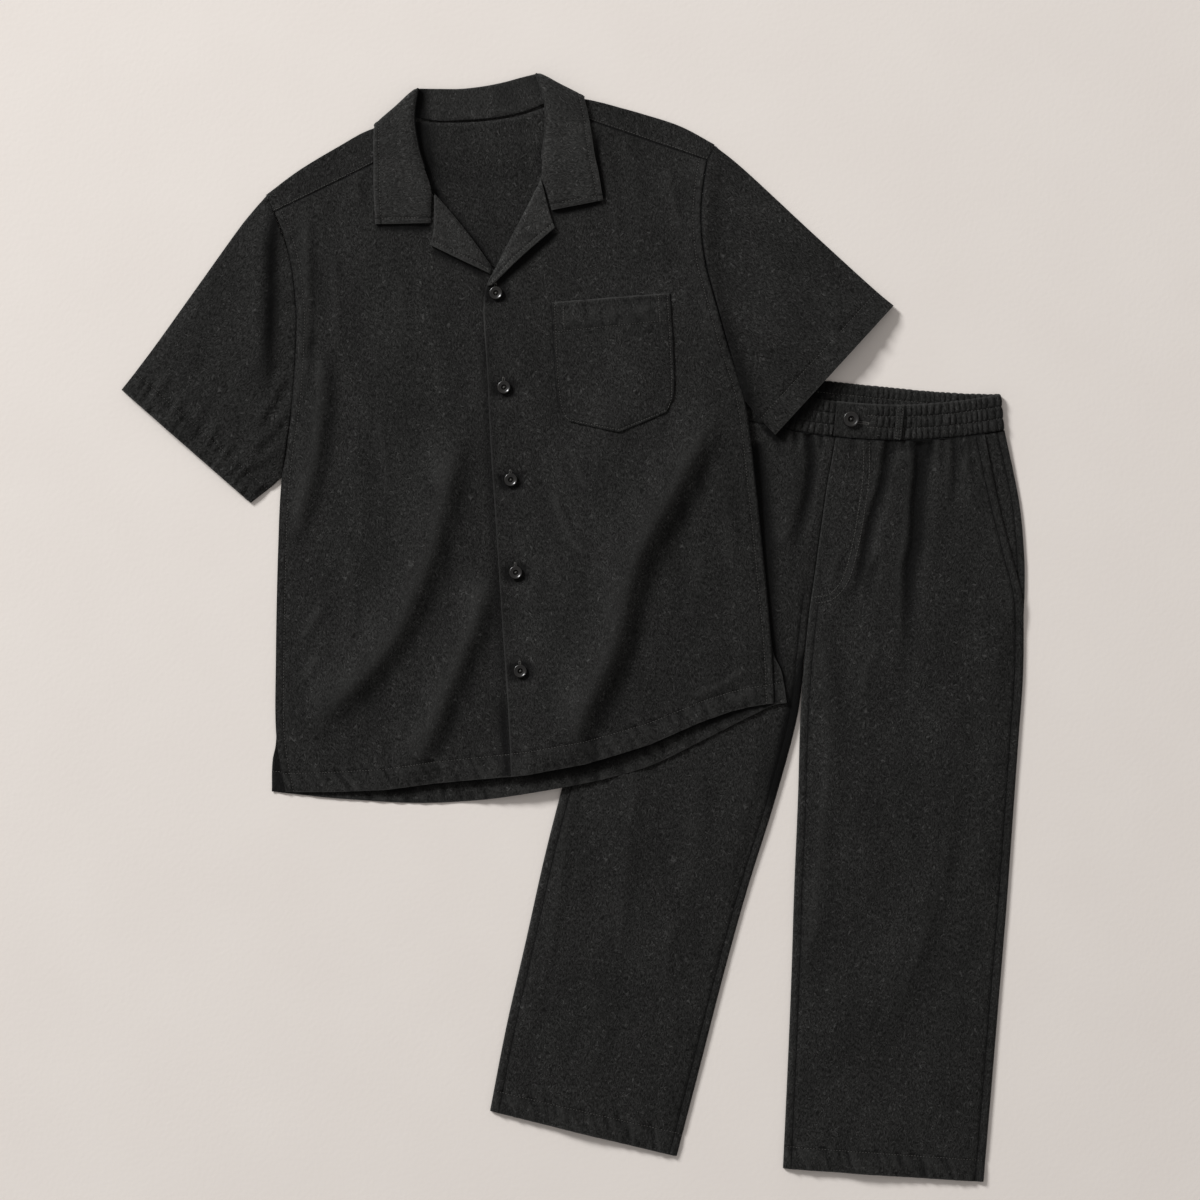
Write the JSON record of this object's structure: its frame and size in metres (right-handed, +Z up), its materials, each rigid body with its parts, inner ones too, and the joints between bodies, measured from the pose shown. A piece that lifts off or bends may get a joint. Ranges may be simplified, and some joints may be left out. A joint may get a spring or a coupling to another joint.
{
  "type": "short-sleeved camp-collar shirt and elastic-waisted trousers, laid flat as a co-ord set",
  "caption": "Charcoal linen-look co-ord set laid flat: an open-collared short-sleeved button shirt with a chest pocket, lying over cropped elastic-waisted trousers.",
  "frame": {"origin": "on the surface that the set lies on, under the middle of its bounding box", "axes": "+Z up off the surface, +Y towards the collar, +X to the right as seen from above, which is the wearer's left"},
  "size_m": [0.9575, 1.1741, 0.0215],
  "materials": {
    "linen": "matte",
    "button": "gloss"
  },
  "bodies": {
    "root": {"shirt_back": "linen", "shirt_front_right": "linen", "shirt_front_left": "linen", "shirt_sleeve_right": "linen", "shirt_sleeve_left": "linen", "shirt_collar": "linen", "shirt_facing_right": "linen", "shirt_facing_left": "linen", "shirt_pocket": "linen", "shirt_button_1": "button", "shirt_button_2": "button", "shirt_button_3": "button", "shirt_button_4": "button", "shirt_button_5": "button", "trouser_front_right": "linen", "trouser_front_left": "linen", "trouser_back_right": "linen", "trouser_back_left": "linen", "trouser_pocket_facing": "linen", "trouser_waistband": "linen", "trouser_belt_loop": "linen", "trouser_button": "button"}
  },
  "joints": []
}
